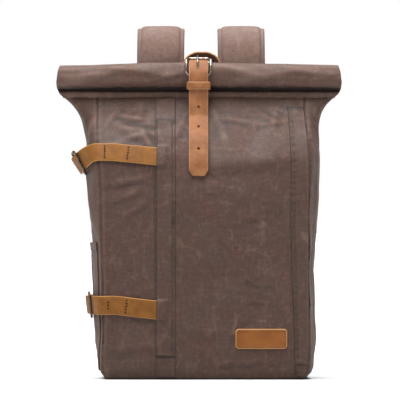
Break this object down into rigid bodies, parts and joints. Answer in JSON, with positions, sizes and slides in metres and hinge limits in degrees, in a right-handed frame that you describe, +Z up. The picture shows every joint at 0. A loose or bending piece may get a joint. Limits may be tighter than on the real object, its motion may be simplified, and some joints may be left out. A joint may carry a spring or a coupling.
{
  "type": "rolltop backpack",
  "caption": "Upright waxed-canvas rolltop backpack with tan leather closure and side straps, metal buckles, a leather patch and padded shoulder straps.",
  "frame": {"origin": "middle of the flat base, on the floor", "axes": "+Z up; the front with the closure strap faces -Y; the back panel and the shoulder straps are at +Y; +X to the right as seen from the front"},
  "size_m": [0.3962, 0.1945, 0.4859],
  "materials": {
    "front_panel": "waxed matte",
    "back_panel": "waxed matte",
    "left_gusset": "waxed matte",
    "right_gusset": "waxed matte",
    "base_panel": "matte",
    "rolled_top": "waxed matte",
    "left_strip": "waxed matte",
    "left_band": "waxed matte",
    "right_band": "waxed matte",
    "left_pocket": "waxed matte",
    "label_patch": "smooth satin",
    "closure_strap": "smooth satin",
    "buckle_chape": "smooth satin",
    "strap_keeper": "smooth satin",
    "buckle_frame": "brushed satin",
    "buckle_tongue": "brushed satin",
    "upper_side_strap": "smooth satin",
    "upper_rear_strap": "smooth satin",
    "upper_side_buckle": "brushed satin",
    "lower_side_strap": "smooth satin",
    "lower_rear_strap": "smooth satin",
    "lower_side_buckle": "brushed satin",
    "grab_handle": "smooth satin",
    "left_shoulder_strap": "waxed matte",
    "right_shoulder_strap": "waxed matte",
    "left_slider": "brushed satin",
    "right_slider": "brushed satin",
    "left_webbing": "matte",
    "right_webbing": "matte"
  },
  "bodies": {
    "root": {"front_panel": "front_panel", "back_panel": "back_panel", "left_gusset": "left_gusset", "right_gusset": "right_gusset", "base_panel": "base_panel", "rolled_top": "rolled_top", "left_strip": "left_strip", "left_band": "left_band", "right_band": "right_band", "left_pocket": "left_pocket", "label_patch": "label_patch", "closure_strap": "closure_strap", "buckle_chape": "buckle_chape", "strap_keeper": "strap_keeper", "buckle_frame": "buckle_frame", "buckle_tongue": "buckle_tongue", "upper_side_strap": "upper_side_strap", "upper_rear_strap": "upper_rear_strap", "upper_side_buckle": "upper_side_buckle", "lower_side_strap": "lower_side_strap", "lower_rear_strap": "lower_rear_strap", "lower_side_buckle": "lower_side_buckle", "grab_handle": "grab_handle", "left_shoulder_strap": "left_shoulder_strap", "right_shoulder_strap": "right_shoulder_strap", "left_slider": "left_slider", "right_slider": "right_slider", "left_webbing": "left_webbing", "right_webbing": "right_webbing"}
  },
  "joints": []
}
